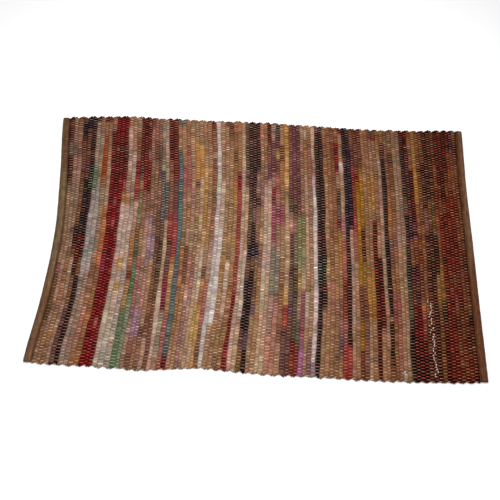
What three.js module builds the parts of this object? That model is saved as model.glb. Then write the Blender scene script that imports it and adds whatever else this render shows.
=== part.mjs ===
import * as THREE from 'three';
import { mergeVertices } from 'three/addons/utils/BufferGeometryUtils.js';

// A hand-loomed rag rug lying flat: one cloth with a narrow turned hem at each short end.
// Millimetres, +Z up. X runs along the warp, the rug's length, and Y along the rag wefts.
// The flat underside lies at z = 0 and the origin is the middle of the rug's footprint.

// Driving sizes
const PICKS = 98;                // rag wefts between the two hem grooves
const CLOTH_THICKNESS = 6.6;     // to the crest of a weft
const RIB_DEPTH = 1.5;           // from the crest of a weft down to the valley beside it
const THICKNESS_WANDER = 0.5;    // one rag is this much fatter or thinner than the next
const SCALLOP_DEPTH = 3.2;       // how far a weft's turn stands out past the selvedge
const TURN_WANDER = 1.2;         // how unevenly the turns stand out
const EDGE_HEIGHT = 3.1;         // height at which the rounded edges reach furthest out
const EDGE_INSET = 2.4;          // the rounded edge draws in by this much at top and bottom
const ROWS_ACROSS = 10;          // steps of the top face from the near to the far selvedge

// The hem: a roll of finer cloth, turned under and sewn down along a groove. tuck draws the
// roll's two ends in from the selvedges, so that the rug's corners are rounded.
const HEM_PROFILE = [
  { inward: EDGE_INSET, height: 6.0, tuck: 2.2 },
  { inward: 8.2, height: 7.4, tuck: 0.2 },
  { inward: 13.8, height: 6.6, tuck: 0.6 },
  { inward: 16.5, height: 3.9, tuck: 2.0 },
];
const HEM_WIDTH = HEM_PROFILE.at(-1).inward;

// One rib's cross-section: place along the pick from 0 to 1, and depth as a share of RIB_DEPTH
const RIB_PROFILE = [
  { place: 0.0, depth: 1 },
  { place: 0.3, depth: 0.1 },
  { place: 0.7, depth: 0.0 },
];

// Where chosen wefts lie, at five places across the cloth from the far to the near selvedge.
// Beating and washing left them bowed, the short ends most of all.
const WEFT_GUIDES = [
  { pick: 0, far: -445, farMid: -431, middle: -421, nearMid: -426, near: -440 },
  { pick: 6, far: -382, farMid: -374, middle: -372, nearMid: -374, near: -389 },
  { pick: 11, far: -337, farMid: -328, middle: -321, nearMid: -325, near: -338 },
  { pick: 13, far: -319, farMid: -310, middle: -305, nearMid: -310, near: -322 },
  { pick: 17, far: -281, farMid: -271, middle: -267, nearMid: -268, near: -278 },
  { pick: 25, far: -218, farMid: -207, middle: -199, nearMid: -201, near: -207 },
  { pick: 28, far: -189, farMid: -177, middle: -170, nearMid: -171, near: -179 },
  { pick: 36, far: -111, farMid: -101, middle: -101, nearMid: -108, near: -118 },
  { pick: 41, far: -61, farMid: -55, middle: -53, nearMid: -58, near: -71 },
  { pick: 44, far: -35, farMid: -30, middle: -29, nearMid: -34, near: -43 },
  { pick: 50, far: 15, farMid: 19, middle: 21, nearMid: 18, near: 11 },
  { pick: 54, far: 55, farMid: 57, middle: 61, nearMid: 59, near: 53 },
  { pick: 61, far: 112, farMid: 117, middle: 120, nearMid: 121, near: 113 },
  { pick: 68, far: 174, farMid: 179, middle: 181, nearMid: 181, near: 178 },
  { pick: 78, far: 260, farMid: 264, middle: 264, nearMid: 266, near: 264 },
  { pick: 83, far: 306, farMid: 309, middle: 309, nearMid: 306, near: 304 },
  { pick: 92, far: 386, farMid: 387, middle: 385, nearMid: 385, near: 383 },
  { pick: 98, far: 438, farMid: 435, middle: 436, nearMid: 436, near: 437 },
];

// The two selvedges, at chosen places along the cloth
const SELVEDGES = [
  { along: -460, far: 287, near: -296 },
  { along: -400, far: 293, near: -298 },
  { along: -315, far: 300, near: -298 },
  { along: -230, far: 298, near: -303 },
  { along: -110, far: 298, near: -293 },
  { along: 0, far: 299, near: -300 },
  { along: 120, far: 296, near: -302 },
  { along: 240, far: 292, near: -304 },
  { along: 350, far: 295, near: -303 },
  { along: 460, far: 302, near: -298 },
];

// A smooth line through evenly spaced values, read at a place from 0 to 1
function smoothThrough(values, place) {
  const scaled = THREE.MathUtils.clamp(place, 0, 1) * (values.length - 1);
  const index = Math.min(Math.floor(scaled), values.length - 2);
  const t = scaled - index;
  const here = values[index];
  const next = values[index + 1];
  const before = values[Math.max(index - 1, 0)];
  const after = values[Math.min(index + 2, values.length - 1)];
  const leaving = (next - before) / 2;
  const arriving = (after - here) / 2;
  const bend = 2 * (here - next) + leaving + arriving;
  const lean = 3 * (next - here) - 2 * leaving - arriving;
  return ((bend * t + lean) * t + leaving) * t + here;
}

// A straight reading between the rows of a table
function readBetween(rows, key, at, read) {
  const last = rows.length - 2;
  let index = 0;
  while (index < last && rows[index + 1][key] < at) index += 1;
  const lower = rows[index];
  const upper = rows[index + 1];
  const t = THREE.MathUtils.clamp((at - lower[key]) / (upper[key] - lower[key]), 0, 1);
  return read(lower) * (1 - t) + read(upper) * t;
}

// Place of a weft along the rug; across runs from 0 at the near selvedge to 1 at the far one
function weftAlong(pick, across) {
  const bow = (row) => smoothThrough([row.near, row.nearMid, row.middle, row.farMid, row.far], across);
  return readBetween(WEFT_GUIDES, 'pick', pick, bow);
}

// Values between -1 and 1 that look irregular from one weft to the next, the same in every build
function uneven(index, kind) {
  return Math.sin(index * 2.4 + kind) * Math.cos(index * 1.1 + 3 * kind);
}

// How far the turned wefts stand out past the selvedge: wefts turn in pairs, and the pairs
// of the near selvedge lie one weft on from those of the far one
function turnReach(pick, side) {
  const pairs = (pick + (side > 0 ? 0 : 1)) / 2;
  const rounded = Math.sqrt(Math.abs(Math.sin(Math.PI * pairs)));
  const crestWander = TURN_WANDER * uneven(Math.floor(pairs), side);
  const notchWander = TURN_WANDER * uneven(Math.round(pairs), 2 + side);
  return (SCALLOP_DEPTH + crestWander) * rounded + notchWander * (1 - rounded) - SCALLOP_DEPTH / 2;
}

// Columns of the top face, from the left hem over the ribs to the right hem
function listColumns() {
  const columns = [];
  for (const step of HEM_PROFILE) {
    columns.push({ pick: 0, shift: step.inward - HEM_WIDTH, height: step.height, tuck: step.tuck });
  }
  for (let pick = 0; pick < PICKS; pick += 1) {
    const crest = CLOTH_THICKNESS + THICKNESS_WANDER * uneven(pick, 3);
    for (const point of RIB_PROFILE) {
      if (pick === 0 && point.place === 0) continue;
      const height = crest - RIB_DEPTH * point.depth;
      columns.push({ pick: pick + point.place, shift: 0, height });
    }
  }
  for (const step of [...HEM_PROFILE].reverse()) {
    columns.push({ pick: PICKS, shift: HEM_WIDTH - step.inward, height: step.height, tuck: step.tuck });
  }
  return columns;
}

// A point of the cloth seen from above. inset draws it in from the selvedges and the short ends.
function planPoint(column, across, inset) {
  const endward = column.shift === 0 ? 0 : Math.sign(column.shift);
  const along = weftAlong(column.pick, across) + column.shift - endward * inset.end;
  const reach = (side) => ('tuck' in column ? -column.tuck : turnReach(column.pick, side));
  const far = readBetween(SELVEDGES, 'along', along, (row) => row.far) + reach(1) - inset.side;
  const near = readBetween(SELVEDGES, 'along', along, (row) => row.near) - reach(-1) + inset.side;
  return { x: along, y: near + (far - near) * across };
}

function makeCloth() {
  const columns = listColumns();
  const positions = [];
  const indices = [];
  const addPoint = (point, height) => positions.push(point.x, point.y, height) / 3 - 1;

  // The top face, a grid of columns along and rows across
  const topInset = { side: EDGE_INSET, end: 0 };
  const top = columns.map((column) => {
    const line = [];
    for (let row = 0; row <= ROWS_ACROSS; row += 1) {
      line.push(addPoint(planPoint(column, row / ROWS_ACROSS, topInset), column.height));
    }
    return line;
  });
  for (let i = 0; i + 1 < top.length; i += 1) {
    for (let row = 0; row < ROWS_ACROSS; row += 1) {
      indices.push(top[i][row], top[i + 1][row], top[i + 1][row + 1]);
      indices.push(top[i][row], top[i + 1][row + 1], top[i][row + 1]);
    }
  }

  // The rim, seen from above counter-clockwise: near selvedge, right end, far selvedge, left end
  const last = columns.length - 1;
  const rim = [];
  for (let i = 0; i < last; i += 1) rim.push({ i, row: 0 });
  for (let row = 0; row < ROWS_ACROSS; row += 1) rim.push({ i: last, row });
  for (let i = last; i > 0; i -= 1) rim.push({ i, row: ROWS_ACROSS });
  for (let row = ROWS_ACROSS; row > 0; row -= 1) rim.push({ i: 0, row });

  const ring = (inset, height) => rim.map(({ i, row }) => {
    const end = i === 0 || i === last ? inset - EDGE_INSET : 0;
    const point = planPoint(columns[i], row / ROWS_ACROSS, { side: inset, end });
    return addPoint(point, height);
  });
  const topRing = rim.map(({ i, row }) => top[i][row]);
  const widestRing = ring(0, EDGE_HEIGHT);
  const footRing = ring(EDGE_INSET, 0);
  for (const [upper, lower] of [[topRing, widestRing], [widestRing, footRing]]) {
    for (let k = 0; k < rim.length; k += 1) {
      const next = (k + 1) % rim.length;
      indices.push(upper[k], lower[k], lower[next]);
      indices.push(upper[k], lower[next], upper[next]);
    }
  }

  // The flat underside
  const foot = footRing.map((id) => new THREE.Vector2(positions[3 * id], positions[3 * id + 1]));
  for (const [a, b, c] of THREE.ShapeUtils.triangulateShape(foot, [])) {
    indices.push(footRing[a], footRing[c], footRing[b]);
  }

  const geometry = new THREE.BufferGeometry();
  geometry.setAttribute('position', new THREE.Float32BufferAttribute(positions, 3));
  geometry.setIndex(indices);
  return mergeVertices(geometry);
}

// The origin is moved to the exact middle of the footprint
function centreFootprint(geometry) {
  geometry.computeBoundingBox();
  const middle = geometry.boundingBox.getCenter(new THREE.Vector3());
  geometry.translate(-middle.x, -middle.y, 0);
  return geometry;
}

const cottonRag = new THREE.MeshStandardMaterial({ color: 0x8a6a54, roughness: 0.95, metalness: 0 });

const cloth = new THREE.Mesh(centreFootprint(makeCloth()), cottonRag);
cloth.name = 'dhurrie_cloth';

const dhurrie = new THREE.Group();
dhurrie.add(cloth);

export default dhurrie;
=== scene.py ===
import math

import bpy
import numpy as np
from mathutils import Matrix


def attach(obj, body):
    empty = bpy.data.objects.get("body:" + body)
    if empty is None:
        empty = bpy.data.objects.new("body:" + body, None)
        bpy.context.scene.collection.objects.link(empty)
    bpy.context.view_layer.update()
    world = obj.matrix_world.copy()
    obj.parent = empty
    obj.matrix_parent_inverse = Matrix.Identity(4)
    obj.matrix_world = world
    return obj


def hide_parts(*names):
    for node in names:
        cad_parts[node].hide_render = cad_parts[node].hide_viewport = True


MM = 0.001  # in metres

# The seed of each part's random draws
SEEDS = {"wefts": 7, "warp": 8, "left": 8, "right": 10, "colours": 11, "lines": 12, "mending": 16}

# The weave. A wander is given as rings from turn to turn and how far it goes.
WEFTS = 98  # rag wefts between the two hem grooves
WEFTS_PER_PIECE = 20  # neighbouring wefts in one joined mesh
WARP_ENDS = 186  # cotton yarns along the rug
RINGS_PER_END = 2  # rings of a weft for each warp end
RINGS = RINGS_PER_END * WARP_ENDS
CLOTH_MIDDLE = 3.3  # height of the cloth's middle
LINE_WANDER = {24: 1.2, 9: 0.5}  # of the lines between the wefts, along the rug

# A rag weft. What isn't a length is a share of its width or height.
RAG_SIDES = 8  # points round it
RAG_FULLNESS = 1.6  # 1 is an oval section, and more is squarer
RAG_SPREAD = 1.08  # its width beside the room between its two lines
RAG_HALF_HEIGHT = 2.1
RAG_SWING = 0.70  # it rises and sinks this far as it passes the warp
RAG_LIFT_WIDTH = 0.05  # it is wider and taller by these where it lies over the warp
RAG_LIFT_HEIGHT = 0.12
RAG_WIDTH_WANDER = {3: 0.05}
RAG_HEIGHT_WANDER = {2: 0.06, 9: 0.06}
RAG_SWAY = {7: 0.3}  # wander of its middle along the rug
RAG_FOLDS = {5: 0.06}  # wander of each side's fold
RAG_CRUMPLE = 0.04  # unevenness of each point
JOINT_SWELL = 0.10  # it is thicker where one rag is laid over the next
JOINT_LENGTH = 0.006  # over this share of the rug's width

# The selvedges, where the wefts turn back in pairs
FIRST_RING = 3  # rings left out at each end of a weft, to make room for the turn
TURN_ANGLES = (30, 60, 85)  # degrees of a turn's rings
TURN_REACH = 1.6  # a turn stands out past the selvedge by this much
TURN_WANDER = 1.2
TURN_THICKNESS = 3.0  # half the rag's thickness, measured out from its middle line
TURN_WIDTH = 0.66  # a rag is slimmer and taller by these as it turns
TURN_HEIGHT = 1.15

# The warp's yarn
YARN_SIDES = 4  # points round it
YARN_HALF_WIDTH = 0.84
YARN_HALF_HEIGHT = 0.65
YARN_WIDTH_WANDER = 0.2  # share of its width
YARN_SWING = 1.75  # it rises and sinks this far as it passes the wefts
YARN_SHOULDER = 0.18  # place on a weft, of 1, where it has reached its height
YARN_SLIP = 0.05  # how far that place wanders, in the same measure
YARN_BOUNCE = 0.12  # how far its height wanders
YARN_DRIFT = 0.22  # how far it wanders across the rug

# The rags' colours. A shade's or a hue's wander is a power of e, so 0.1 is about a tenth.
TINT_RANGE = (0.92, 1.09)  # how pale one rag is beside another of its kind
SHADE_WANDER = {14: 0.12, 5: 0.18, 2: 0.20}
HUE_WANDER = {9: 0.062, 24: 0.062}  # of red, green and blue, each by itself
RAG_GRAIN = 0.34  # uneven shade from point to point
SIDE_SHARE = 0.1  # how much of its neighbour's colour a rag has at its sides
# Painted shade beside the hems' grooves: the first and last rags' sides are mixed towards black
GROOVE_SHADE_SHARE = 0.7  # how much darker the first and last rags are beside the hem's groove
DYE_STRENGTH = 1.06  # a rag's own hue beside the one seen from a step away
WEAKEST_DYE = 0.1  # no channel of a rag is under this share of their mean
DYE_SHARE = 0.15  # how much of a rag's hue has come from the cloth around it
DYE_REACH = 5  # rings that a dye has run along a rag
DYE_ALONG = 0.4  # of that hue, the share of the rag's own weft
DYE_BESIDE = 0.3  # and of each weft beside it

# Where one rag ends and the next begins
RUN_RAGGEDNESS = {3: 0.016}  # wander of the end, in shares of the rug's width
RUN_BLUR = 8  # rings over which one rag may give way to the next
BLUR_MIDDLE = 0.6  # how far it does, from 0 to 1, and the least that it does
BLUR_LEAST = 0.2
BLUR_WANDER = {30: 1.0}

# Threads of other rags that come to the surface: their chance at a ring, and how strongly
OTHER_THREADS = "ecru orange rosered sage walnut amber mauve maroon blush".split()
OTHER_THREAD_CHANCE = 0.05
OTHER_THREAD_SHARE = (0.1, 0.4)

# The warp's colour
EYE_CURVE = 2.2  # between light and tone
YARN_SHARE = 0.21  # share of the face that the warp covers
YARN_LIMIT = 0.97  # the most of the light seen that the yarn may give
YARN_PALENESS = 0.165  # the yarn is paler than the rag by this much
YARN_PALENESS_ON_DARK = 2.5  # and by more for a rag that is darker than DARK_TONE
DARK_TONE = 0.26
YARN_UNEVENNESS = 0.22

# Painted light and shade: how far the uneven light lightens or darkens the rags and tints them, in red,
# green and blue, at chosen wefts: beside the far selvedge and beside the near one
PAINTED_LIGHT_GRADIENT = {
    0: ((0.82, 0.84, 0.92), (1.05, 1.28, 1.42)),
    18: ((1.07, 1.16, 1.26), (1.19, 1.36, 1.49)),
    54: ((1.18, 1.33, 1.38), (1.22, 1.47, 1.55)),
    67: ((0.95, 1.01, 1.07), (1.10, 1.16, 1.18)),
    85: ((0.82, 0.81, 0.77), (0.92, 0.94, 0.94)),
    98: ((0.81, 0.80, 0.80), (0.68, 0.62, 0.60)),
}

# The hems: rolls of finer cloth, sewn down along a groove. The profile goes round a roll: how
# far in from its outer edge, and how high.
HEM_WIDTH = 16.5
HEM_PROFILE = [
    (1.2, 0.5), (0.0, 2.0), (0.3, 3.9), (1.7, 5.6), (3.8, 6.8), (6.0, 7.1), (8.2, 7.2),
    (10.4, 7.1), (12.6, 6.7), (14.6, 5.8), (16.0, 4.4), (17.4, 2.8), (16.6, 1.2), (13.0, 0.4),
    (9.0, 0.3), (5.0, 0.3),
]
HEM_MIDDLE = (8.5, 3.6)
HEM_FOOT = 0.1  # no point of a roll lies lower
HEM_END = 0.003  # a roll stops short of the selvedge by this share of the width
HEM_TUCK = 0.006  # share of the width over which its end is tucked in
HEM_TUCK_SIZE = 0.72  # its size where it is tucked in
HEM_RIB = 0.0198  # how far the ribs of its warp stand out and sink in
HEM_WANDER = {6: 0.025}
HEM_CRUMPLE = 0.015
HEM_FOLD = 7.5  # where the outer half's cloth meets the inner half's
HEM_FOLD_WANDER = 2.0
GROOVE_START = 14  # how far in the groove's side begins, and how high it reaches down
GROOVE_FOOT = 1
# Painted shade darkens the groove's side, and painted light and shade make each standing rib lighter and
# each sunk one darker
GROOVE_SHADE = 0.60
RIB_SHADE = 0.11
STREAK_SHADE = 0.16
HEM_GRAIN = 0.08
HEM_UNEVENNESS = 0.5  # of shade and hue, beside the rags'
HEM_FADING = (0.70, 0.86, 0.96)

# The rags' inner folds, which close the gaps of the weave, as one thin sheet, coloured near black as
# painted shade in the gaps
GROUND_THICKNESS = 0.5
GROUND_PAST = 1.2  # wefts that it reaches past the first and the last one
GROUND_PITCH = 8.8  # a weft's width there
GROUND_INSET = 0.01  # share of the width left free at each selvedge
GROUND_STEPS = (61, 25)  # along the rug and across it
GROUND_SHADE_COLOUR = "1e1512"
GROUND_SHADE_FLECK = "120c09"
GROUND_FLECK_SHARE = 0.3

# Bright mending threads: place among the wefts, and hundredths of the width from the far selvedge
MENDING_THREADS = [
    {"start": (87.7, 71.0), "end": (88.5, 98.5), "swing": 0.42, "stitches": 34},
    {"start": (80.3, 97.6), "end": (81.6, 96.6), "swing": 0.12, "stitches": 3},
]
STITCH = (-0.5, -0.35, 0.35, 0.5)  # points along a stitch; the outer two are under the face
STITCH_LENGTH = 3.6
STITCH_LENGTHS = (0.6, 1.4)  # the shortest and the longest beside that
STITCH_LEAN = 0.35
STITCH_HEIGHT = 2.05  # of the cloth's middle
RUG_WIDTH = 600
THREAD_HALF_THICKNESS = 0.9
THREAD_THICKNESSES = (0.8, 1.2)
THREAD_COLOUR = "f2ddd4"
THREAD_SHADES = (0.6, 1.0)

# The materials. A scale is features for each metre, and tints lie along a pattern from 0 to 1.
PRINT_SCALE = 330
FLECK_EDGE = 0.76  # flecks show where their pattern is over this, less a share of the reach
FLECK_REACH = 0.62
FLECK_BLUR = 0.04
FOLD_SCALE = 120
BACK_TINT = (1.5, 1.48, 1.45, 1)  # the back of a printed cloth beside its face
BACK_RANGE = (0.52, 0.72)  # where along the folds it begins to show and shows most
BACK_SHARE = 0.35
CREASE_DEPTH = 0.0008
RAG_FIBRE_SCALE = 1500
RAG_FIBRE_TINTS = [(0.3, (0.72, 0.70, 0.68)), (0.7, (1.18, 1.18, 1.18))]
FIBRE_DEPTH = 0.0003
TWIST_SCALE = 480
TWIST_TINTS = [(0.0, (0.6, 0.55, 0.5)), (1.0, (1.15, 1.12, 1.1))]
WEAR_SCALE = 260
WEAR_RANGE = (0.5, 0.75)
WEAR_SHARE = 0.5
WEAR_TINT = (0.62, 0.52, 0.45, 1)
STREAK_SCALE = 700
STREAK_STRETCH = (1.0, 0.06, 1.0)  # the streaks are drawn out along the hem
STREAK_TINTS = [(0.32, (0.55, 0.50, 0.45)), (0.68, (1.45, 1.40, 1.35))]
STREAK_DEPTH = 0.0005
HEM_FIBRE_SCALE = 1300
HEM_FIBRE_TINTS = [(0.3, (0.7, 0.7, 0.7)), (0.7, (1.2, 1.2, 1.2))]
FLOOR_SCALE = 3
FLOOR_COLOURS = ((0.93, 0.93, 0.93, 1), (0.95, 0.95, 0.95, 1))

# The studio, in metres
FLOOR_SIZE = 12
SKY_STRENGTH = 0.62
SOFTBOX_SIZE = 0.6
SOFTBOX_POWER = 12
SOFTBOX_PLACE = (-0.03, 0.03, 1.0)
SENSOR_WIDTH = 36  # in millimetres, as the focal length is
FOCAL_LENGTH = 55.5
CAMERA_PLACE = (-0.0353, -0.7656, 1.4508)
CAMERA_TURN = (0.470548, -0.028550, 0.034506)

# The middle of the footprint in the tables below, which the solid has at its origin
FOOTPRINT_MIDDLE = (-3.5, -2.2)

# Where chosen wefts lie along the rug, from the far to the near selvedge, as in the solid
WEFT_GUIDES = {
    0: (-445, -431, -421, -426, -440),
    6: (-382, -374, -372, -374, -389),
    11: (-337, -328, -321, -325, -338),
    13: (-319, -310, -305, -310, -322),
    17: (-281, -271, -267, -268, -278),
    25: (-218, -207, -199, -201, -207),
    28: (-189, -177, -170, -171, -179),
    36: (-111, -101, -101, -108, -118),
    41: (-61, -55, -53, -58, -71),
    44: (-35, -30, -29, -34, -43),
    50: (15, 19, 21, 18, 11),
    54: (55, 57, 61, 59, 53),
    61: (112, 117, 120, 121, 113),
    68: (174, 179, 181, 181, 178),
    78: (260, 264, 264, 266, 264),
    83: (306, 309, 309, 306, 304),
    92: (386, 387, 385, 385, 383),
    98: (438, 435, 436, 436, 437),
}

# The far and the near selvedge, at chosen places along the cloth, as in the solid
SELVEDGES = {
    -460: (287, -296),
    -400: (293, -298),
    -315: (300, -298),
    -230: (298, -303),
    -110: (298, -293),
    0: (299, -300),
    120: (296, -302),
    240: (292, -304),
    350: (295, -303),
    460: (302, -298),
}

# The rags: each fabric's colour with the warp over it, as seen from a step away, the share of
# its flecks or print, and how light these are beside it
RAGS = """
tan 7c5943 0.25 0.6
sand 886853 0.20 0.65
blush 8a6b5c 0.20 0.7
rosytan 7f5e4d 0.25 0.65
rosybrown 6c483b 0.30 0.6
dun 6c4834 0.25 0.65
tobacco 663a26 0.25 0.65
walnut 63402c 0.30 0.6
khaki 71543b 0.25 0.65
peat 4c3025 0.25 1.5
umber 55362a 0.25 1.5
ecru 8c7464 0.15 0.75
cream 96827a 0.10 0.8
pearl 7f6d63 0.30 1.3
greybeige 7d6252 0.25 0.65
ash 5e493f 0.30 0.6
sage 786350 0.25 0.65
olive 684e38 0.30 0.6
greygreen 62604a 0.30 0.6
soot 4a362b 0.18 1.5
char 3c2822 0.18 1.4
jet 33231f 0.12 1.4
navy 32262a 0.20 0.6
tealblack 262120 0.20 0.6
plumblack 4f322c 0.20 1.4
indigo 4b3439 0.20 0.6
blackgreen 36362b 0.20 0.6
maroon 51241c 0.30 0.6
henna 664030 0.30 0.6
crimson 601c1b 0.20 0.65
cerise 5f202b 0.25 0.65
red 71312b 0.20 0.65
brick 632e22 0.25 0.6
rosered 79463e 0.25 0.65
magenta 6f373d 0.25 0.65
plum 533230 0.30 0.6
pink 7b5248 0.25 0.7
salmon 815446 0.25 0.7
rust 764e38 0.25 0.65
flame 823820 0.20 0.7
marigold 8b5335 0.20 0.7
orange 7a4e35 0.20 0.7
amber 825935 0.20 0.7
gold 8e6943 0.20 0.75
honey 7a5212 0.15 0.75
saffron 855d34 0.20 0.75
mustard 7a5838 0.25 0.65
yellowolive 77562c 0.25 0.65
moss 60553a 0.30 0.6
green 50563d 0.25 0.6
emerald 415139 0.20 0.6
darkgreen 474031 0.25 0.6
teal 434d4a 0.20 0.65
slate 434748 0.25 0.6
greyteal 665649 0.30 0.6
lilac 755759 0.30 0.65
mauve 684840 0.30 0.65
mauvepink 765449 0.30 0.65
violet 78485c 0.25 0.65
brownprint 77563f 0.32 0.35
tanprint 795640 0.25 0.5
rustprint 744d36 0.28 0.5
mustardprint 76553e 0.28 0.5
greyprint 574c44 0.46 0.22
redprint 663d2d 0.30 0.5
roseprint 6e4c42 0.30 0.6
speckle 8c7666 0.28 0.5
"""

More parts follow.
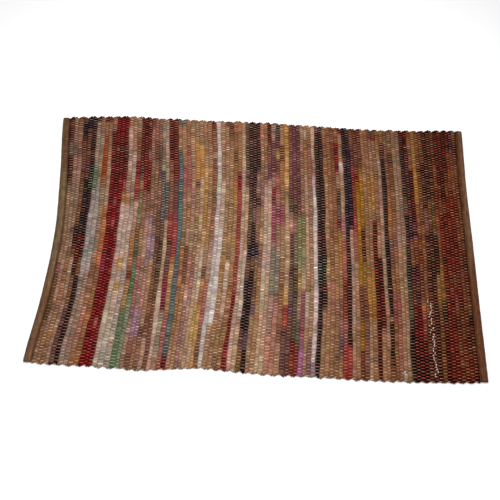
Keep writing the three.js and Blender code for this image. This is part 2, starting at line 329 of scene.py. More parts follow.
# Which rags each weft is made of, from the far to the near selvedge. The number after a rag
# says where it ends, in hundredths of the rug's width. A long row goes on in the next line.
RAG_CHART = """
0 umber 14 greygreen 18 umber 29 olive 34 tan 62 rosered 66 walnut 88 rust 93 tan 100
1 rosytan 14 mauve 18 rosytan 78 mauve 81 rosytan 90 mustard 93 tan 100
2 umber 2 tan 14 mauve 18 rosytan 47 umber 51 tan 56 olive 61 rust 100
3 umber 3 tealblack 9 umber 24 walnut 47 char 57 walnut 61 sand 77 soot 78 rosytan 100
4 navy 7 walnut 20 plum 28 jet 51 maroon 64 jet 68 walnut 80 plumblack 100
5 char 22 blackgreen 31 jet 52 maroon 60 walnut 67 jet 79 char 100
6 soot 3 sage 22 greygreen 33 pearl 68 greybeige 100
7 tan 8 sage 32 pearl 54 emerald 57 pearl 66 rosytan 92 greybeige 100
8 brick 3 tan 9 flame 28 rust 33 rosytan 62 rust 78 salmon 93 orange 100
9 brick 3 tan 20 sand 39 marigold 63 rust 80 orange 100
10 tan 8 maroon 22 crimson 59 cerise 68 crimson 100
11 crimson 13 maroon 32 crimson 38 rosered 41 crimson 46 rosered 48 crimson 84 salmon 86 crimson 100
12 crimson 10 maroon 28 crimson 100
13 crimson 13 maroon 24 crimson 29 red 35 amber 38 ecru 60 blush 80 ecru 100
14 tan 4 blush 25 rosytan 32 pink 36 mustard 40 ecru 61 gold 65 ecru 70 gold 74 blush 82 speckle 100
15 tan 15 ecru 28 sage 40 ecru 62 pearl 78 speckle 100
16 rosytan 8 walnut 20 crimson 28 red 37 blush 47 tan 52 orange 64 brick 68 mustard 79 green 100
17 maroon 23 blackgreen 27 olive 34 moss 47 walnut 53 darkgreen 60 greygreen 63 emerald 75 greygreen 100
18 maroon 24 crimson 34 rosybrown 47 khaki 61 rosered 65 rosytan 69 rosered 75 mauve 83 rosytan 100
19 umber 4 maroon 14 rosybrown 20 maroon 34 rosybrown 44 lilac 46 rosytan 60 mauvepink 80
   lilac 88 rosybrown 100
20 umber 4 rosybrown 24 olive 33 rosybrown 42 lilac 47 rosytan 49 lilac 62 mauvepink 80 lilac 88 rust 100
21 rosybrown 10 umber 20 rosybrown 44 mauve 49 lilac 62 tan 84 umber 88 rosybrown 100
22 rosybrown 11 soot 20 plum 27 rosybrown 40 umber 68 walnut 82 umber 88 rosytan 100
23 sage 11 ash 20 sage 23 greyprint 46 soot 75 umber 100
24 blush 20 sage 27 greyprint 42 mauve 45 sand 71 ecru 88 blush 100
25 maroon 20 henna 41 red 52 plumblack 66 cerise 81 sage 97 tan 100
26 maroon 26 plum 44 red 61 mustard 82 rosered 100
27 slate 2 tan 14 slate 31 teal 60 slate 68 teal 88 slate 95 crimson 100
28 slate 2 tan 14 rust 22 rosered 36 tan 46 olive 56 orange 70 rust 90 mustard 94 tan 100
29 rust 14 rosered 34 tan 38 orange 46 rosytan 54 umber 70 rust 88 pink 92 tan 100
30 tan 9 rosytan 31 mauvepink 38 rosytan 57 pink 62 salmon 71 blush 76 mauvepink 100
31 rosytan 8 amber 27 umber 32 brownprint 60 mauve 66 salmon 71 rosytan 100
32 tan 11 amber 26 sand 38 pink 42 sand 50 mauvepink 54 sand 100
33 tan 16 rosytan 22 gold 28 saffron 46 orange 48 gold 55 ecru 76 gold 92 sand 100
34 rust 14 tan 18 umber 19 tan 62 mauve 64 umber 68 orange 80 gold 100
35 brick 6 henna 14 rosytan 17 henna 45 rust 52 rosytan 66 rust 70 rosered 84 henna 100
36 cream 100
37 tan 20 brownprint 28 blush 47 cream 84 tanprint 100
38 umber 3 tan 47 brownprint 59 saffron 62 umber 64 saffron 68 brownprint 84 tanprint 100
39 umber 8 brownprint 50 tan 57 brownprint 60 ecru 70 sand 82 brownprint 100
40 rustprint 14 umber 20 rustprint 30 amber 38 tanprint 50 mustard 54 tanprint 60 mustard 68 rustprint 100
41 rust 12 mustard 23 crimson 30 red 71 crimson 100
42 rosytan 12 blush 100
43 soot 27 umber 30 sand 55 ecru 80 pink 84 sand 100
44 char 36 soot 54 navy 58 umber 65 jet 86 plumblack 92 walnut 100
45 char 38 mauve 44 char 54 navy 58 umber 64 jet 86 indigo 92 jet 100
46 char 22 mauve 32 char 37 rosybrown 52 navy 58 olive 68 soot 76 indigo 80 tanprint 100
47 salmon 8 tan 20 brownprint 27 roseprint 38 mustardprint 55 mauve 61 rust 72 orange 76 tanprint 100
48 rust 20 mauve 27 blush 60 ecru 78 sand 100
49 maroon 8 plum 27 blush 62 sand 100
50 mauvepink 8 plum 24 mauvepink 29 crimson 33 plum 38 magenta 51 pink 54 greyteal 71 soot 73
   mauvepink 88 salmon 100
51 blackgreen 7 plum 12 mustard 17 umber 24 rosered 32 pink 37 plum 41 magenta 45 olive 50 pink 55
   greyteal 71 soot 73 pink 91 soot 93 salmon 100
52 tan 10 umber 17 rustprint 36 magenta 44 tanprint 50 brownprint 60 walnut 75 henna 88 tan 100
53 saffron 12 gold 27 tan 33 sage 38 sand 61 rosytan 69 gold 75 red 84 plumblack 100
54 plum 32 soot 40 pink 46 plumblack 56 soot 70 indigo 79 plumblack 100
55 plum 12 plumblack 28 plum 36 soot 42 pink 46 ash 60 soot 88 crimson 93 brick 100
56 plum 40 moss 62 mustard 70 rosytan 80 darkgreen 91 brick 100
57 rosytan 8 rosybrown 40 moss 52 sage 66 sand 70 magenta 86 violet 100
58 tan 3 ecru 6 rust 22 rosytan 40 sand 60 rust 62 tan 70 ecru 82 tan 100
59 tan 4 henna 10 rosybrown 41 tan 85 mauve 100
60 blush 14 mauvepink 24 cream 94 lilac 100
61 plum 3 char 57 blackgreen 66 jet 100
62 char 57 blackgreen 66 char 77 tan 100
63 rust 22 tan 66 salmon 70 tan 100
64 rustprint 25 rust 66 salmon 77 tanprint 100
65 redprint 25 rustprint 52 tan 60 tanprint 78 brownprint 100
66 rust 8 crimson 21 rosytan 27 soot 35 ash 39 plum 46 yellowolive 60 tan 72 mauve 86 indigo 93 tan 100
67 crimson 4 rosytan 16 cream 19 sand 39 pink 48 rosered 62 brick 78 rosered 89 red 100
68 jet 13 plumblack 20 navy 48 char 89 red 100
69 blackgreen 3 navy 44 blush 84 rosytan 100
70 henna 10 plum 18 red 46 rosered 58 rosytan 68 tan 100
71 umber 12 henna 19 crimson 24 honey 36 amber 43 honey 66 umber 80 honey 90 tobacco 100
72 umber 17 honey 43 umber 57 mustard 66 umber 80 mauve 100
73 rust 4 tan 56 mustard 61 amber 80 sand 100
74 rust 4 tan 20 mustard 38 tan 60 amber 80 tan 100
75 ash 3 brick 5 tan 21 saffron 36 tan 41 maroon 100
76 ash 3 brick 5 rosytan 9 tan 38 umber 41 tan 56 maroon 82 tan 100
77 rust 5 mustard 12 blush 70 sand 76 rosytan 88 tan 100
78 rust 5 plumblack 14 jet 48 tealblack 53 jet 77 greybeige 79 char 96 rust 100
79 olive 8 rosybrown 27 orange 46 mauve 60 rust 70 rosered 79 rust 100
80 olive 8 walnut 27 rust 42 mauve 52 rust 68 rosered 76 salmon 100
81 rosytan 8 greybeige 40 blush 50 sand 97 cream 99 tan 100
82 rosytan 12 greybeige 40 sand 100
83 maroon 7 char 30 ash 38 char 46 indigo 51 blackgreen 68 darkgreen 82 char 100
84 maroon 9 plum 40 indigo 47 henna 58 plum 68 tobacco 74 maroon 100
85 rust 18 maroon 40 plum 47 henna 58 plum 64 umber 69 indigo 74 crimson 86 maroon 100
86 mustard 19 saffron 31 rust 45 tobacco 60 umber 70 orange 77 rosered 84 maroon 100
87 dun 11 walnut 31 dun 60 rust 75 umber 100
88 walnut 14 peat 20 soot 26 peat 35 mauve 45 peat 63 plumblack 68 umber 100
89 peat 30 walnut 44 peat 100
90 peat 30 olive 44 peat 60 mustard 72 walnut 100
91 walnut 18 tobacco 42 dun 58 mustard 72 soot 80 maroon 100
92 maroon 24 tobacco 30 henna 37 brick 62 brick 100
93 maroon 32 brick 62 redprint 68 brick 100
94 maroon 20 henna 31 brick 60 redprint 68 rosered 74 henna 100
95 maroon 8 tobacco 28 brick 60 henna 64 brick 74 walnut 84 tobacco 100
96 plum 10 henna 30 brick 40 henna 60 rosered 66 henna 74 walnut 90 tobacco 100
97 olive 6 plum 11 walnut 25 henna 36 walnut 70 olive 76 peat 82 walnut 94 tobacco 100
"""

# The fine cloth of the two hems, outer half and inner half, charted in the same way
HEM_CHART = """
left_outer olive 20 khaki 62 dun 100
left_inner walnut 24 khaki 70 dun 100
right_inner tobacco 36 dun 60 tobacco 100
right_outer dun 55 tobacco 94 henna 98 tobacco 100
"""

# Rings of a weft between its turns, and the place of all its rings, from 0 at the near selvedge
# to 1 at the far one
STRAIGHT_RINGS = np.arange(FIRST_RING, RINGS - FIRST_RING + 1)
RING_PLACES = np.pad(STRAIGHT_RINGS / RINGS, len(TURN_ANGLES), constant_values=(0, 1))


# Shape of the cloth

def smooth_through(values, place):
    """A smooth line through evenly spaced values, one column for each place from 0 to 1."""
    last = len(values) - 1
    scaled = np.clip(place, 0, 1) * last
    index = np.minimum(scaled.astype(int), last - 1)
    t = scaled - index
    before, here, following, after = (
        np.take_along_axis(values, np.clip(index + step, 0, last)[None], 0)[0] for step in (-1, 0, 1, 2)
    )
    leaving = (following - before) / 2
    arriving = (after - here) / 2
    bend = 2 * (here - following) + leaving + arriving
    lean = 3 * (following - here) - 2 * leaving - arriving
    return ((bend * t + lean) * t + leaving) * t + here


def weft_along(weft, across):
    """Place of a weft along the rug; across runs from 0 at the near selvedge to 1 at the far one."""
    weft, across = np.broadcast_arrays(np.asarray(weft, float), np.asarray(across, float))
    near_to_far = np.array(list(WEFT_GUIDES.values()), float).T[::-1]
    values = np.array([np.interp(weft.ravel(), list(WEFT_GUIDES), guide) for guide in near_to_far])
    return smooth_through(values, across.ravel()).reshape(weft.shape)


def selvedge(along, side):
    """Where the far (0) or near (1) selvedge lies at a place along the rug."""
    return np.interp(along, list(SELVEDGES), [row[side] for row in SELVEDGES.values()])


def wander(rng, count, reaches):
    """Slow irregular values around 0, one for each ring. reaches says how far they go, by the
    rings from turn to turn; several are added up."""
    total = np.zeros(count)
    for every, reach in reaches.items():
        turns = max(2, int(count / every) + 2)
        path = rng.uniform(-1, 1, turns)
        total += reach * np.interp(np.linspace(0, turns - 1, count), np.arange(turns), path)
    return total


def scatter(rng, reach, shape):
    """Irregular values around 0, each by itself."""
    return reach * rng.uniform(-1, 1, shape)


def draw_line_shifts():
    """How far each line between two wefts strays, ring by ring. The hems' lines stay in place."""
    rng = np.random.default_rng(SEEDS["lines"])
    shifts = np.array([wander(rng, RINGS + 1, LINE_WANDER) for _ in range(WEFTS + 1)])
    shifts[[0, -1]] = 0
    return shifts


LINE_SHIFTS = draw_line_shifts()


def line_shift(weft, across):
    """How far unevenly thick rags push a point along the rug."""
    weft, across = np.broadcast_arrays(np.asarray(weft, float), np.asarray(across, float))
    ring = np.rint(np.clip(across, 0, 1) * RINGS).astype(int)
    lower = np.clip(np.floor(weft), 0, WEFTS - 1).astype(int)
    share = weft - lower
    return LINE_SHIFTS[lower, ring] * (1 - share) + LINE_SHIFTS[lower + 1, ring] * share


def cloth_point(weft, across, shift=0.0):
    """A point of the cloth seen from above, in the solid's frame."""
    along = weft_along(weft, across) + line_shift(weft, across) + shift
    near = selvedge(along, 1)
    y = near + (selvedge(along, 0) - near) * across
    return along - FOOTPRINT_MIDDLE[0], y - FOOTPRINT_MIDDLE[1]


# Colours

def linear(hex_colour):
    """The linear light of a colour written as six hex digits, by the usual display curve."""
    parts = np.array([int(hex_colour[k:k + 2], 16) for k in (0, 2, 4)]) / 255
    return np.where(parts <= 0.04045, parts / 12.92, ((parts + 0.055) / 1.055) ** 2.4)


def read_chart(text):
    """{row: [(rag, end as a share of the width)]} from a chart."""
    chart = {}
    for line in text.strip().replace("\n   ", " ").splitlines():
        row, *runs = line.split()
        chart[row] = [(rag, int(end) / 100) for rag, end in zip(runs[::2], runs[1::2])]
    return chart


def deepen(colour):
    """A colour with its hue made stronger and its lightness kept."""
    grey = colour.mean()
    return np.maximum(grey + DYE_STRENGTH * (colour - grey), WEAKEST_DYE * grey)


PALETTE = {}
FLECKS = {}
for line in RAGS.strip().splitlines():
    name, seen, share, light = line.split()
    PALETTE[name] = deepen(linear(seen))
    FLECKS[name] = (float(share), float(light))


def soften(values, reach):
    """Values averaged over the rings on either side. The rings run along the second axis."""
    kernel = np.hanning(2 * reach + 3)[1:-1]
    padded = np.pad(values, ((0, 0), (reach, reach), (0, 0)), mode="edge")
    weights = enumerate(kernel / kernel.sum())
    return sum(weight * padded[:, k:k + values.shape[1]] for k, weight in weights)


def rag_colours(rng, runs, down, unevenness=1.0):
    """A rag ring by ring: its colour, its flecks' colour and their share.
    down is each ring's place from the far selvedge, from 0 to 1."""
    count = len(down)
    ends = [end for _, end in runs[:-1]]
    which = np.searchsorted(ends, down + wander(rng, count, RUN_RAGGEDNESS))
    tints = rng.uniform(*TINT_RANGE, len(runs))[which, None]
    cloth = np.array([PALETTE[rag] for rag, _ in runs])[which] * tints
    # Some rags give way to the next at once and some little by little
    blur = np.clip(BLUR_MIDDLE + wander(rng, count, BLUR_WANDER), BLUR_LEAST, 1)[:, None]
    cloth = cloth * (1 - blur) + soften(cloth[None], RUN_BLUR)[0] * blur
    # Other threads and prints of the torn cloth that come to the surface here and there
    other = np.array([PALETTE[rag] for rag in OTHER_THREADS])[rng.choice(len(OTHER_THREADS), count)]
    shows = rng.random(count) < OTHER_THREAD_CHANCE
    other_share = np.where(shows, rng.uniform(*OTHER_THREAD_SHARE, count), 0)[:, None]
    cloth = cloth * (1 - other_share) + other * other_share
    shade = wander(rng, count, SHADE_WANDER)[:, None]
    hue = np.stack([wander(rng, count, HUE_WANDER) for _ in range(3)], -1)
    cloth = cloth * np.exp(unevenness * (shade + hue))
    fleck_share, fleck_light = np.array([FLECKS[rag] for rag, _ in runs])[which].T
    return cloth, cloth * fleck_light[:, None], fleck_share


def run_dyes(cloth):
    """Washing has carried the dyes along the rags and into the wefts beside them. cloth has a
    row for each weft and a colour for each ring, and each keeps its own lightness."""
    along = soften(cloth, DYE_REACH)
    before = np.concatenate([along[:1], along[:-1]])
    after = np.concatenate([along[1:], along[-1:]])
    dye = DYE_ALONG * along + DYE_BESIDE * (before + after)
    stained = dye / dye.mean(-1, keepdims=True) * cloth.mean(-1, keepdims=True)
    return cloth * (1 - DYE_SHARE) + stained * DYE_SHARE


def fade(cloth, down):
    """Painted light and shade of the uneven light, from weft to weft and from the far selvedge to the
    near one.
    """
    known = list(PAINTED_LIGHT_GRADIENT)
    edges = np.moveaxis(np.array(list(PAINTED_LIGHT_GRADIENT.values())), 0, -1)
    far, near = (
        np.stack([np.interp(np.arange(WEFTS), known, channel) for channel in edge], -1)[:, None]
        for edge in edges
    )
    return cloth * (far + (near - far) * down[None, :, None])


def part_warp(seen):
    """The rag's own colour and the warp yarn's, which together look like the colour seen. The
    yarn is paler than the rag, and more so on a dark one."""
    tone = seen ** (1 / EYE_CURVE)
    darkness = np.maximum(DARK_TONE - tone.mean(-1, keepdims=True), 0)
    yarn = (tone + YARN_PALENESS + YARN_PALENESS_ON_DARK * darkness) ** EYE_CURVE
    yarn = np.minimum(yarn, YARN_LIMIT * seen / YARN_SHARE)
    return (seen - YARN_SHARE * yarn) / (1 - YARN_SHARE), yarn


def weave_colours(chart):
    """Colours of every weft and of the warp over it, ring by ring."""
    down = 1 - RING_PLACES
    rng = np.random.default_rng(SEEDS["colours"])
    parts = [rag_colours(rng, chart[str(weft)], down) for weft in range(WEFTS)]
    cloth, fleck, share = (np.stack(values) for values in zip(*parts))
    # The rags' colours take on the painted light and shade of the uneven light here
    rag, yarn = part_warp(fade(run_dyes(cloth), down))
    return {"rag": rag, "fleck": rag * (fleck / cloth), "share": share, "yarn": yarn}


def paint(shape, colour, share=1.0):
    """A colour for each of a piece's points, with a share from 0 to 1 kept beside it."""
    painted = np.ones((*shape, 4))
    painted[..., :3] = colour
    painted[..., 3] = share
    return painted


# Meshes

class Lofts:
    """Closed lofts with the same number of points round each, joined into one mesh.
    Each loft has its own row of the bake's map, and its two caps lie beside it."""

    # Corners of one cap's quads in its own square of the map
    CAP_ACROSS = (0.1, 0.1, 0.9, 0.9)
    CAP_UP = (0.2, 0.8, 0.8, 0.2)

    def __init__(self, name, sides):
        self.name = name
        self.sides = sides
        self.rings = []
        self.colours = []

    def add(self, rings, **colours):
        self.rings.append(rings)
        self.colours.append(colours)

    def loft_faces(self, count):
        """Corners of the walls' quads and of the two caps', for a loft of so many rings."""
        ring = np.arange(count - 1)[:, None] * self.sides
        side = np.arange(self.sides)[None]
        after = (side + 1) % self.sides
        corners = [ring + side, ring + after, ring + self.sides + after, ring + self.sides + side]
        half = np.arange(self.sides // 2 - 1)
        cap = np.stack([half, half + 1, self.sides - 2 - half, self.sides - 1 - half], -1)
        end = cap + (count - 1) * self.sides
        return np.concatenate([np.stack(corners, -1).reshape(-1, 4), cap[:, ::-1], end])

    def loft_map(self, count, row):
        """Places of the same corners in the bake's map, in a row of their own."""
        across = np.arange(count - 1)[:, None] + np.zeros((1, self.sides))
        up = np.arange(self.sides)[None] + np.zeros((count - 1, 1))
        u = np.stack([across, across, across + 1, across + 1], -1).reshape(-1, 4) / (count - 1)
        v = np.stack([up, up + 1, up + 1, up], -1).reshape(-1, 4)
        caps = self.sides - 2
        cap_u = (np.arange(caps)[:, None] + np.array([self.CAP_ACROSS])) / caps
        cap_v = np.array([self.CAP_UP]) + self.sides + np.zeros((caps, 1))
        v = np.concatenate([v, cap_v]) / (self.sides + 1)
        return np.stack([np.concatenate([u, cap_u]), (row + v) / len(self.rings)], -1)

    def piece(self, material):
        faces = []
        places = []
        start = 0
        for row, rings in enumerate(self.rings):
            faces.append(self.loft_faces(len(rings)) + start)
            places.append(self.loft_map(len(rings), row))
            start += len(rings) * self.sides
        faces = np.concatenate(faces)
        places = np.concatenate(places)
        points = np.concatenate([rings.reshape(-1, 3) for rings in self.rings]) * MM
        colours = {}
        for key in self.colours[0]:
            colours[key] = np.concatenate([loft[key].reshape(-1, 4) for loft in self.colours])
        return make_piece(self.name, points, faces, places, colours, material)


def make_piece(name, points, faces, places, colours, material):
    """A mesh of quads from arrays: points in metres, corners of the faces, their places in the
    bake's map, and a colour attribute or more."""
    mesh = bpy.data.meshes.new(name)
    mesh.vertices.add(len(points))
    mesh.vertices.foreach_set("co", points.astype(np.float32).ravel())
    mesh.loops.add(faces.size)
    mesh.loops.foreach_set("vertex_index", faces.astype(np.int32).ravel())
    mesh.polygons.add(len(faces))
    mesh.polygons.foreach_set("loop_start", np.arange(0, faces.size, 4, dtype=np.int32))
    mesh.polygons.foreach_set("use_smooth", np.ones(len(faces), dtype=bool))
    mesh.update(calc_edges=True)
    layer = mesh.uv_layers.new(name="OFBake")
    layer.data.foreach_set("uv", places.astype(np.float32).ravel())
    for key, values in colours.items():
        attribute = mesh.color_attributes.new(key, "FLOAT_COLOR", "POINT")
        attribute.data.foreach_set("color", values.astype(np.float32).ravel())
    mesh.materials.append(material)
    piece = bpy.data.objects.new(name, mesh)
    bpy.context.scene.collection.objects.link(piece)
    return piece


def sweep(x, y, z, half_width, half_height, section):
    """Rings of a section swept along a path that lies flat but for its height."""
    forward = np.stack([np.gradient(x), np.gradient(y)], -1)
    forward /= np.linalg.norm(forward, axis=1, keepdims=True)
    out = section[..., 0] * half_width[:, None]
    return np.stack([
        x[:, None] + forward[:, 1, None] * out,
        y[:, None] - forward[:, 0, None] * out,
        z[:, None] + section[..., 1] * half_height[:, None],
    ], -1)


def round_section(sides, fullness=1.0):
    """Points round a section of half width 1 and half height 1; a fullness over 1 squares it."""
    angles = np.arange(sides) * 2 * math.pi / sides
    points = np.stack([np.cos(angles), np.sin(angles)], -1)
    return np.sign(points) * np.abs(points) ** (1 / fullness)


# Wefts

def turned(weft, side):
    """The boundary between a weft and the one that it turns into: wefts turn in pairs, and the
    pairs of the near selvedge lie one weft on from those of the far one."""
    joins_next = (weft % 2 == 0) == (side == "far")
    return weft + 1 if joins_next else weft


def quarter_turn(weft, side, x, y, reach):
    """Rings of a weft between the end of its straight stretch and the tip of its turn."""
    place, outward = (1.0, 1) if side == "far" else (0.0, -1)
    boundary = turned(weft, side)
    middle, edge = cloth_point(boundary, np.array([place]))
    tip = edge[0] + outward * (reach[side][boundary] - TURN_THICKNESS)
    angles = np.radians(TURN_ANGLES)[::outward]
    return middle[0] + (x - middle[0]) * np.cos(angles), y + (tip - y) * np.sin(angles)


def weft_path(weft, reach):
    """Middle line of a weft from the near to the far selvedge: x, y and its lift, which is 1
    where it lies over a warp end and -1 where it lies under one."""
    x, y = cloth_point(weft + 0.5, STRAIGHT_RINGS / RINGS)
    over_or_under = np.where((weft + STRAIGHT_RINGS // RINGS_PER_END) % 2 == 0, 1.0, -1.0)
    lift = np.where(STRAIGHT_RINGS % RINGS_PER_END == 1, over_or_under, 0.0)
    near_x, near_y = quarter_turn(weft, "near", x[0], y[0], reach)
    far_x, far_y = quarter_turn(weft, "far", x[-1], y[-1], reach)
    x = np.concatenate([near_x, x, far_x])
    y = np.concatenate([near_y, y, far_y])
    return x, y, np.pad(lift, len(TURN_ANGLES))


def weft_rings(rng, weft, reach, runs, section):
    """The crumpled rings of a weft."""
    x, y, lift = weft_path(weft, reach)
    count = len(x)
    joints = np.zeros(count)
    for _, end in runs[:-1]:
        joints += np.exp(-((1 - RING_PLACES - end) / JOINT_LENGTH) ** 2)
    swell = 1 + wander(rng, count, RAG_WIDTH_WANDER) + JOINT_SWELL * joints
    lower, upper = (cloth_point(weft + line, RING_PLACES)[0] for line in (0, 1))
    turn = np.ones(count, bool)
    turn[len(TURN_ANGLES):-len(TURN_ANGLES)] = False
    half_width = RAG_SPREAD * (upper - lower) / 2 * swell
    half_width *= (1 + RAG_LIFT_WIDTH * lift) * np.where(turn, TURN_WIDTH, 1)
    half_height = 1 + RAG_LIFT_HEIGHT * lift + wander(rng, count, RAG_HEIGHT_WANDER)
    half_height *= RAG_HALF_HEIGHT * np.where(turn, TURN_HEIGHT, 1)
    folds = np.stack([wander(rng, count, RAG_FOLDS) for _ in range(RAG_SIDES)], -1)
    shape = section[None] * (1 + folds + scatter(rng, RAG_CRUMPLE, folds.shape))[..., None]
    x = x + wander(rng, count, RAG_SWAY)
    return sweep(x, y, CLOTH_MIDDLE + RAG_SWING * lift, half_width, half_height, shape)


def side_shares(section):
    """How much of its neighbours' colour each point round each weft has, and beside the hems' grooves how
    much painted shade.
    """
    share = np.full((WEFTS, RAG_SIDES), SIDE_SHARE)
    share[0, section[:, 0] < 0] = GROOVE_SHADE_SHARE
    share[-1, section[:, 0] > 0] = GROOVE_SHADE_SHARE
    return share[..., None] * section[:, 0, None] ** 2


def make_wefts(material, chart, weave):
    """The rag wefts, in joined meshes of neighbouring wefts that each stay small enough."""
    rng = np.random.default_rng(SEEDS["wefts"])
    reach = {side: TURN_REACH + scatter(rng, TURN_WANDER, WEFTS + 1) for side in ("far", "near")}
    section = round_section(RAG_SIDES, RAG_FULLNESS)
    share = side_shares(section)
    before, after = (np.roll(weave["rag"], step, axis=0) for step in (1, -1))
    # Beside the hems the neighbour is black, which paints shade along the groove
    before[0] = after[-1] = 0
    pieces = []
    for band, first in enumerate(range(0, WEFTS, WEFTS_PER_PIECE)):
        lofts = Lofts(f"rag_wefts_{band + 1}", RAG_SIDES)
        for weft in range(first, min(first + WEFTS_PER_PIECE, WEFTS)):
            rings = weft_rings(rng, weft, reach, chart[str(weft)], section)
            shape = rings.shape[:2]
            grain = np.exp(scatter(rng, RAG_GRAIN, (*shape, 1)))
            own = weave["rag"][weft][:, None]
            beside = np.where(section[:, 0, None] > 0, after[weft][:, None], before[weft][:, None])
            colour = (own + (beside - own) * share[weft]) * grain
            cloth = paint(shape, colour, weave["share"][weft][:, None])
            lofts.add(rings, cloth=cloth, fleck=paint(shape, weave["fleck"][weft][:, None] * grain))
        pieces.append(lofts.piece(material))
    return pieces


# Warp

def make_warp(material, weave):
    """The cotton warp, one joined mesh for each of the plain weave's two sheds."""
    rng = np.random.default_rng(SEEDS["warp"])
    weft_number = np.repeat(np.arange(WEFTS), 2)
    places = weft_number + np.tile([YARN_SHOULDER, 1 - YARN_SHOULDER], WEFTS)
    count = len(places)
    section = np.broadcast_to(round_section(YARN_SIDES), (count, YARN_SIDES, 2))
    tall = np.full(count, YARN_HALF_HEIGHT)
    pieces = []
    for shed in range(2):
        lofts = Lofts(f"warp_shed_{shed + 1}", YARN_SIDES)
        for end in range(shed, WARP_ENDS, 2):
            across = np.full(count, (end + 0.5) / WARP_ENDS)
            x, y = cloth_point(places + scatter(rng, YARN_SLIP, count), across)
            over_or_under = np.where((weft_number + end) % 2 == 1, 1.0, -1.0)
            z = CLOTH_MIDDLE + YARN_SWING * over_or_under + scatter(rng, YARN_BOUNCE, count)
            y = y + scatter(rng, YARN_DRIFT, count)
            wide = YARN_HALF_WIDTH * (1 + scatter(rng, YARN_WIDTH_WANDER, count))
            shade = np.exp(YARN_UNEVENNESS * rng.normal(0, 1, (WEFTS, 1)))
            tone = np.repeat(weave["yarn"][:, RINGS_PER_END * end + 1] * shade, 2, axis=0)
            cloth = paint((count, YARN_SIDES), tone[:, None])
            lofts.add(sweep(x, y, z, wide, tall, section), cloth=cloth)
        pieces.append(lofts.piece(material))
    return pieces


# Hems

def make_hem(name, chart, material):
    """A roll of fine cloth along the left or the right short end."""
    rng = np.random.default_rng(SEEDS[name])
    side, edge = (-1, 0) if name == "left" else (1, WEFTS)
    across = np.linspace(HEM_END, 1 - HEM_END, RINGS + 1)
    profile = np.array(HEM_PROFILE)[::-side]
    shape = (len(across), len(profile))
    rib = np.where(np.arange(len(across)) % 2 == 1, 1.0, -1.0)[:, None]
    swell = 1 + HEM_RIB * rib + wander(rng, len(across), HEM_WANDER)[:, None]
    swell = swell + scatter(rng, HEM_CRUMPLE, shape)
    tuck = np.minimum(np.minimum(across, 1 - across) / HEM_TUCK, 1)
    swell = swell * (HEM_TUCK_SIZE + (1 - HEM_TUCK_SIZE) * np.sqrt(tuck))[:, None]
    rolled = HEM_MIDDLE + (profile - HEM_MIDDLE)[None] * swell[..., None]
    x, y = cloth_point(edge, across)
    rings = np.stack([
        (x + side * HEM_WIDTH)[:, None] - side * rolled[..., 0],
        np.broadcast_to(y[:, None], shape),
        np.maximum(rolled[..., 1], HEM_FOOT),
    ], -1)
    outer, inner = (
        rag_colours(rng, chart[f"{name}_{half}"], 1 - across, HEM_UNEVENNESS)[0]
        for half in ("outer", "inner")
    )
    is_inner = profile[:, 0] + scatter(rng, HEM_FOLD_WANDER, len(profile)) > HEM_FOLD
    colour = np.where(is_inner[None, :, None], inner[:, None], outer[:, None])
    streaks = 1 + scatter(rng, STREAK_SHADE, len(profile))
    in_groove = (profile[:, 0] > GROOVE_START) & (profile[:, 1] > GROOVE_FOOT)
    # Painted shade in the groove and painted light and shade on the ribs; the streaks and grain are the
    # cloth's own tone
    shade = streaks * np.where(in_groove, GROOVE_SHADE, 1) * (1 + RIB_SHADE * rib)
    shade = shade * np.exp(scatter(rng, HEM_GRAIN, shape))
    lofts = Lofts(f"hem_{name}", len(profile))
    lofts.add(rings, cloth=paint(shape, colour * shade[..., None] * HEM_FADING))
    return lofts.piece(material)


# Ground and mending

def make_ground(material):
    """The rags' inner folds: one thin sheet in the middle of the weave that closes its gaps, coloured
    dark as painted shade.
    """
    rows, columns = GROUND_STEPS
    along = np.linspace(-GROUND_PAST, WEFTS + GROUND_PAST, rows)
    across = np.linspace(GROUND_INSET, 1 - GROUND_INSET, columns)
    weft = np.clip(along, 0, WEFTS)
    shift = (along - weft) * GROUND_PITCH
    grid_weft, grid_across = np.meshgrid(weft, across, indexing="ij")
    x, y = cloth_point(grid_weft, grid_across, shift[:, None])
    top = CLOTH_MIDDLE + GROUND_THICKNESS / 2
    # A ring goes over the sheet's top from one selvedge to the other and comes back below
    upper = np.stack([x, y, np.full(x.shape, top)], -1)
    lower = np.stack([x, y, np.full(x.shape, top - GROUND_THICKNESS)], -1)[:, ::-1]
    rings = np.concatenate([upper, lower], 1)[:, ::-1]
    shape = rings.shape[:2]
    # Its near-black colour and flecks are painted shade for the gaps between the wefts
    cloth = paint(shape, linear(GROUND_SHADE_COLOUR), GROUND_FLECK_SHARE)
    lofts = Lofts("rag_ground_painted_shade", 2 * columns)
    lofts.add(rings, cloth=cloth, fleck=paint(shape, linear(GROUND_SHADE_FLECK)))
    return lofts.piece(material)


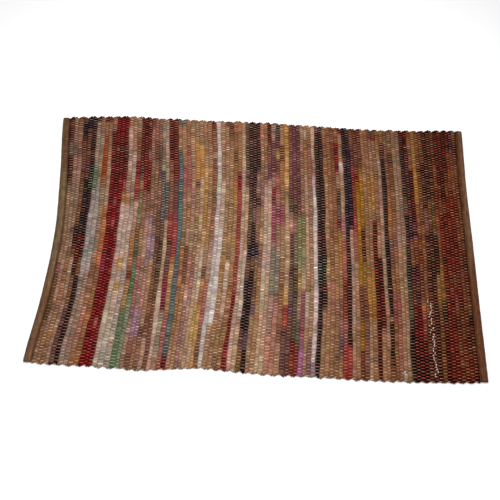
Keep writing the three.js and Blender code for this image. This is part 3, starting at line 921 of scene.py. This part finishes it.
def make_mending(material):
    """Bright threads sewn in and out of the cloth, so that short stitches show on its face."""
    rng = np.random.default_rng(SEEDS["mending"])
    lofts = Lofts("mending_thread", YARN_SIDES)
    stitch = np.array(STITCH)
    on_face = abs(stitch) < max(stitch)
    for thread in MENDING_THREADS:
        place = (np.arange(thread["stitches"]) + 0.5)[:, None] / thread["stitches"]
        (weft_0, down_0), (weft_1, down_1) = thread["start"], thread["end"]
        lean = scatter(rng, STITCH_LEAN, place.shape) * stitch
        swing = scatter(rng, thread["swing"], place.shape)
        weft = weft_0 + (weft_1 - weft_0) * place + swing + lean
        length = STITCH_LENGTH * rng.uniform(*STITCH_LENGTHS, place.shape) * stitch
        down = (down_0 + (down_1 - down_0) * place) / 100 + length / RUG_WIDTH
        x, y = cloth_point(weft.ravel(), 1 - down.ravel())
        z = CLOTH_MIDDLE * np.where(on_face, STITCH_HEIGHT, 1.0) + np.zeros(down.shape)
        thick = THREAD_HALF_THICKNESS * rng.uniform(*THREAD_THICKNESSES, x.size)
        shape = (x.size, YARN_SIDES)
        section = np.broadcast_to(round_section(YARN_SIDES), (*shape, 2))
        colour = linear(THREAD_COLOUR) * rng.uniform(*THREAD_SHADES, x.size)[:, None, None]
        lofts.add(sweep(x, y, z.ravel(), thick, thick, section), cloth=paint(shape, colour))
    return lofts.piece(material)


# Materials

class Wire:
    """A shader socket that can be used in sums. Each sum adds a Math node."""

    def __init__(self, graph, socket):
        self.graph = graph
        self.socket = socket

    def math(self, operation, *values):
        return self.graph.node("ShaderNodeMath", {"operation": operation}, dict(enumerate(values)))

    def __add__(self, other):
        return self.math("ADD", self, other)

    def __sub__(self, other):
        return self.math("SUBTRACT", self, other)

    def __mul__(self, other):
        return self.math("MULTIPLY", self, other)

    def __rsub__(self, other):
        return self.math("SUBTRACT", other, self)

    __radd__ = __add__
    __rmul__ = __mul__


class Graph:
    """The node tree of one material, with its Principled shader."""

    def __init__(self, name):
        self.material = bpy.data.materials.new(name)
        self.material.use_nodes = True
        self.tree = self.material.node_tree
        self.shader = next(node for node in self.tree.nodes if node.type == "BSDF_PRINCIPLED")
        self.place = self.node("ShaderNodeTexCoord", output="Object")

    def put(self, socket, value):
        if isinstance(value, Wire):
            self.tree.links.new(value.socket, socket)
        else:
            socket.default_value = value

    def node(self, kind, settings=None, inputs=None, output=0):
        """Any node, from its settings, the values or links of its sockets and the output to use."""
        made = self.tree.nodes.new(kind)
        for key, value in (settings or {}).items():
            setattr(made, key, value)
        for key, value in (inputs or {}).items():
            self.put(made.inputs[key], value)
        return Wire(self, made.outputs[output])

    def attribute(self, name, output="Color"):
        return self.node("ShaderNodeAttribute", {"attribute_name": name}, output=output)

    def noise(self, scale, detail=2.0, rough=0.5, place=None):
        return self.node("ShaderNodeTexNoise", inputs={
            "Vector": place or self.place, "Scale": scale, "Detail": detail, "Roughness": rough,
        })

    def mix(self, blend, share, first, second):
        return self.node("ShaderNodeMix", {"data_type": "RGBA", "blend_type": blend},
                         {0: share, 6: first, 7: second}, output=2)

    def between(self, value, low, high):
        """0 where a value is under low and 1 where it is over high."""
        return self.node("ShaderNodeMapRange", inputs={
            "Value": value, "From Min": low, "From Max": high,
        })

    def shade(self, colour, pattern, tints, share=1.0):
        """A colour multiplied by two tints and what lies between them, along a pattern."""
        ramp = self.tree.nodes.new("ShaderNodeValToRGB")
        self.put(ramp.inputs["Fac"], pattern)
        for stop, (place, tint) in zip(ramp.color_ramp.elements, tints):
            stop.position = place
            stop.color = (*tint, 1)
        return self.mix("MULTIPLY", share, colour, Wire(self, ramp.outputs[0]))

    def bump(self, height, strength, depth, **under):
        """A normal from a pattern's height, over another normal if one is given."""
        return self.node("ShaderNodeBump", inputs={
            "Strength": strength, "Distance": depth, "Height": height, **under,
        })

    def finish(self, **sockets):
        for name, value in sockets.items():
            self.put(self.shader.inputs[name.replace("_", " ")], value)
        return self.material


def rag_material():
    """Torn cotton: printed flecks, the paler back of the cloth where a fold turns, and fibres."""
    graph = Graph("torn_cotton_rag")
    cloth = graph.attribute("cloth")
    prints = graph.noise(PRINT_SCALE, 1.5)
    folds = graph.noise(FOLD_SCALE)
    fibre = graph.noise(RAG_FIBRE_SCALE)
    edge = FLECK_EDGE - graph.attribute("cloth", "Alpha") * FLECK_REACH
    flecked = graph.between(prints, edge - FLECK_BLUR, edge + FLECK_BLUR)
    colour = graph.mix("MIX", flecked, cloth, graph.attribute("fleck"))
    back = graph.mix("MULTIPLY", 1.0, cloth, BACK_TINT)
    colour = graph.mix("MIX", graph.between(folds, *BACK_RANGE) * BACK_SHARE, colour, back)
    colour = graph.shade(colour, fibre, RAG_FIBRE_TINTS)
    creases = graph.bump(folds, strength=0.6, depth=CREASE_DEPTH)
    threads = graph.bump(fibre, strength=0.5, depth=FIBRE_DEPTH, Normal=creases)
    return graph.finish(Base_Color=colour, Roughness=0.86 + 0.1 * (1 - folds), Normal=threads,
                        Specular_IOR_Level=0.05)


def yarn_material():
    """Twisted cotton yarn, worn here and there."""
    graph = Graph("cotton_warp_yarn")
    twist = graph.node("ShaderNodeTexWave", {"bands_direction": "DIAGONAL"}, {
        "Vector": graph.place, "Scale": TWIST_SCALE, "Distortion": 2.0, "Detail": 1.0,
    })
    wear = graph.noise(WEAR_SCALE)
    colour = graph.shade(graph.attribute("cloth"), twist, TWIST_TINTS, 0.5)
    colour = graph.mix("MULTIPLY", graph.between(wear, *WEAR_RANGE) * WEAR_SHARE, colour, WEAR_TINT)
    threads = graph.bump(twist, strength=0.5, depth=FIBRE_DEPTH)
    return graph.finish(Base_Color=colour, Roughness=0.8 + 0.12 * wear, Normal=threads,
                        Specular_IOR_Level=0.08)


def hem_material():
    """Fine weft-faced cloth: thin streaks along the hem over the ribs of the warp."""
    graph = Graph("fine_hem_cloth")
    drawn = graph.node("ShaderNodeMapping", inputs={"Vector": graph.place, "Scale": STREAK_STRETCH})
    streaks = graph.noise(STREAK_SCALE, 3.0, 0.6, drawn)
    fibre = graph.noise(HEM_FIBRE_SCALE)
    colour = graph.shade(graph.attribute("cloth"), streaks, STREAK_TINTS)
    colour = graph.shade(colour, fibre, HEM_FIBRE_TINTS, 0.5)
    ridges = graph.bump(streaks, strength=0.6, depth=STREAK_DEPTH)
    return graph.finish(Base_Color=colour, Roughness=0.84 + 0.12 * fibre, Normal=ridges,
                        Specular_IOR_Level=0.05)


def floor_material():
    """A plain pale floor with a faint unevenness."""
    graph = Graph("pale_floor")
    colour = graph.mix("MIX", graph.noise(FLOOR_SCALE), *FLOOR_COLOURS)
    return graph.finish(Base_Color=colour, Roughness=0.9, Specular_IOR_Level=0.1)


# Studio

def make_floor():
    bpy.ops.mesh.primitive_plane_add(size=FLOOR_SIZE)
    floor = bpy.context.object
    floor.name = "floor"
    floor.data.materials.append(floor_material())


def make_light():
    """An even white sky, and one soft light from almost straight above."""
    world = bpy.data.worlds.new("studio")
    world.use_nodes = True
    backdrop = world.node_tree.nodes["Background"]
    backdrop.inputs["Color"].default_value = (1.0, 1.0, 1.0, 1.0)
    backdrop.inputs["Strength"].default_value = SKY_STRENGTH
    bpy.context.scene.world = world

    lamp = bpy.data.lights.new("softbox", "AREA")
    lamp.shape = "RECTANGLE"
    lamp.size = SOFTBOX_SIZE
    lamp.size_y = SOFTBOX_SIZE
    lamp.energy = SOFTBOX_POWER
    softbox = bpy.data.objects.new("softbox", lamp)
    softbox.location = SOFTBOX_PLACE
    aim = -softbox.location.normalized()
    softbox.rotation_euler = aim.to_track_quat("-Z", "Y").to_euler()
    bpy.context.scene.collection.objects.link(softbox)


def make_camera():
    lens = bpy.data.cameras.new("camera")
    lens.sensor_width = SENSOR_WIDTH
    lens.lens = FOCAL_LENGTH
    camera = bpy.data.objects.new("camera", lens)
    camera.location = CAMERA_PLACE
    camera.rotation_euler = CAMERA_TURN
    bpy.context.scene.collection.objects.link(camera)
    bpy.context.scene.camera = camera
    bpy.context.scene.view_settings.view_transform = "Standard"


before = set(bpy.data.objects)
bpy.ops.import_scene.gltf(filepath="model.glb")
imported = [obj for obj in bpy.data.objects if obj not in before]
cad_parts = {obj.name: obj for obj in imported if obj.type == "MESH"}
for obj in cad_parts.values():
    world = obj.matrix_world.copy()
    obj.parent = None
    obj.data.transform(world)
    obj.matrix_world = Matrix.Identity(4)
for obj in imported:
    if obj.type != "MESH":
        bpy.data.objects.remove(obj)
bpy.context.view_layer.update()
bpy.ops.object.select_all(action="DESELECT")
make_floor()
make_light()
make_camera()

rag_chart = read_chart(RAG_CHART)
hem_chart = read_chart(HEM_CHART)
rag = rag_material()
yarn = yarn_material()
fine = hem_material()
weave = weave_colours(rag_chart)
wefts = make_wefts(rag, rag_chart, weave)
warp = make_warp(yarn, weave)
hems = [make_hem(name, hem_chart, fine) for name in ("left", "right")]
ground = make_ground(rag)
mending = make_mending(yarn)

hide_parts("dhurrie_cloth")
on_ground = [*wefts, *warp, *hems, mending]
for piece in (ground, *on_ground):
    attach(piece, "root")
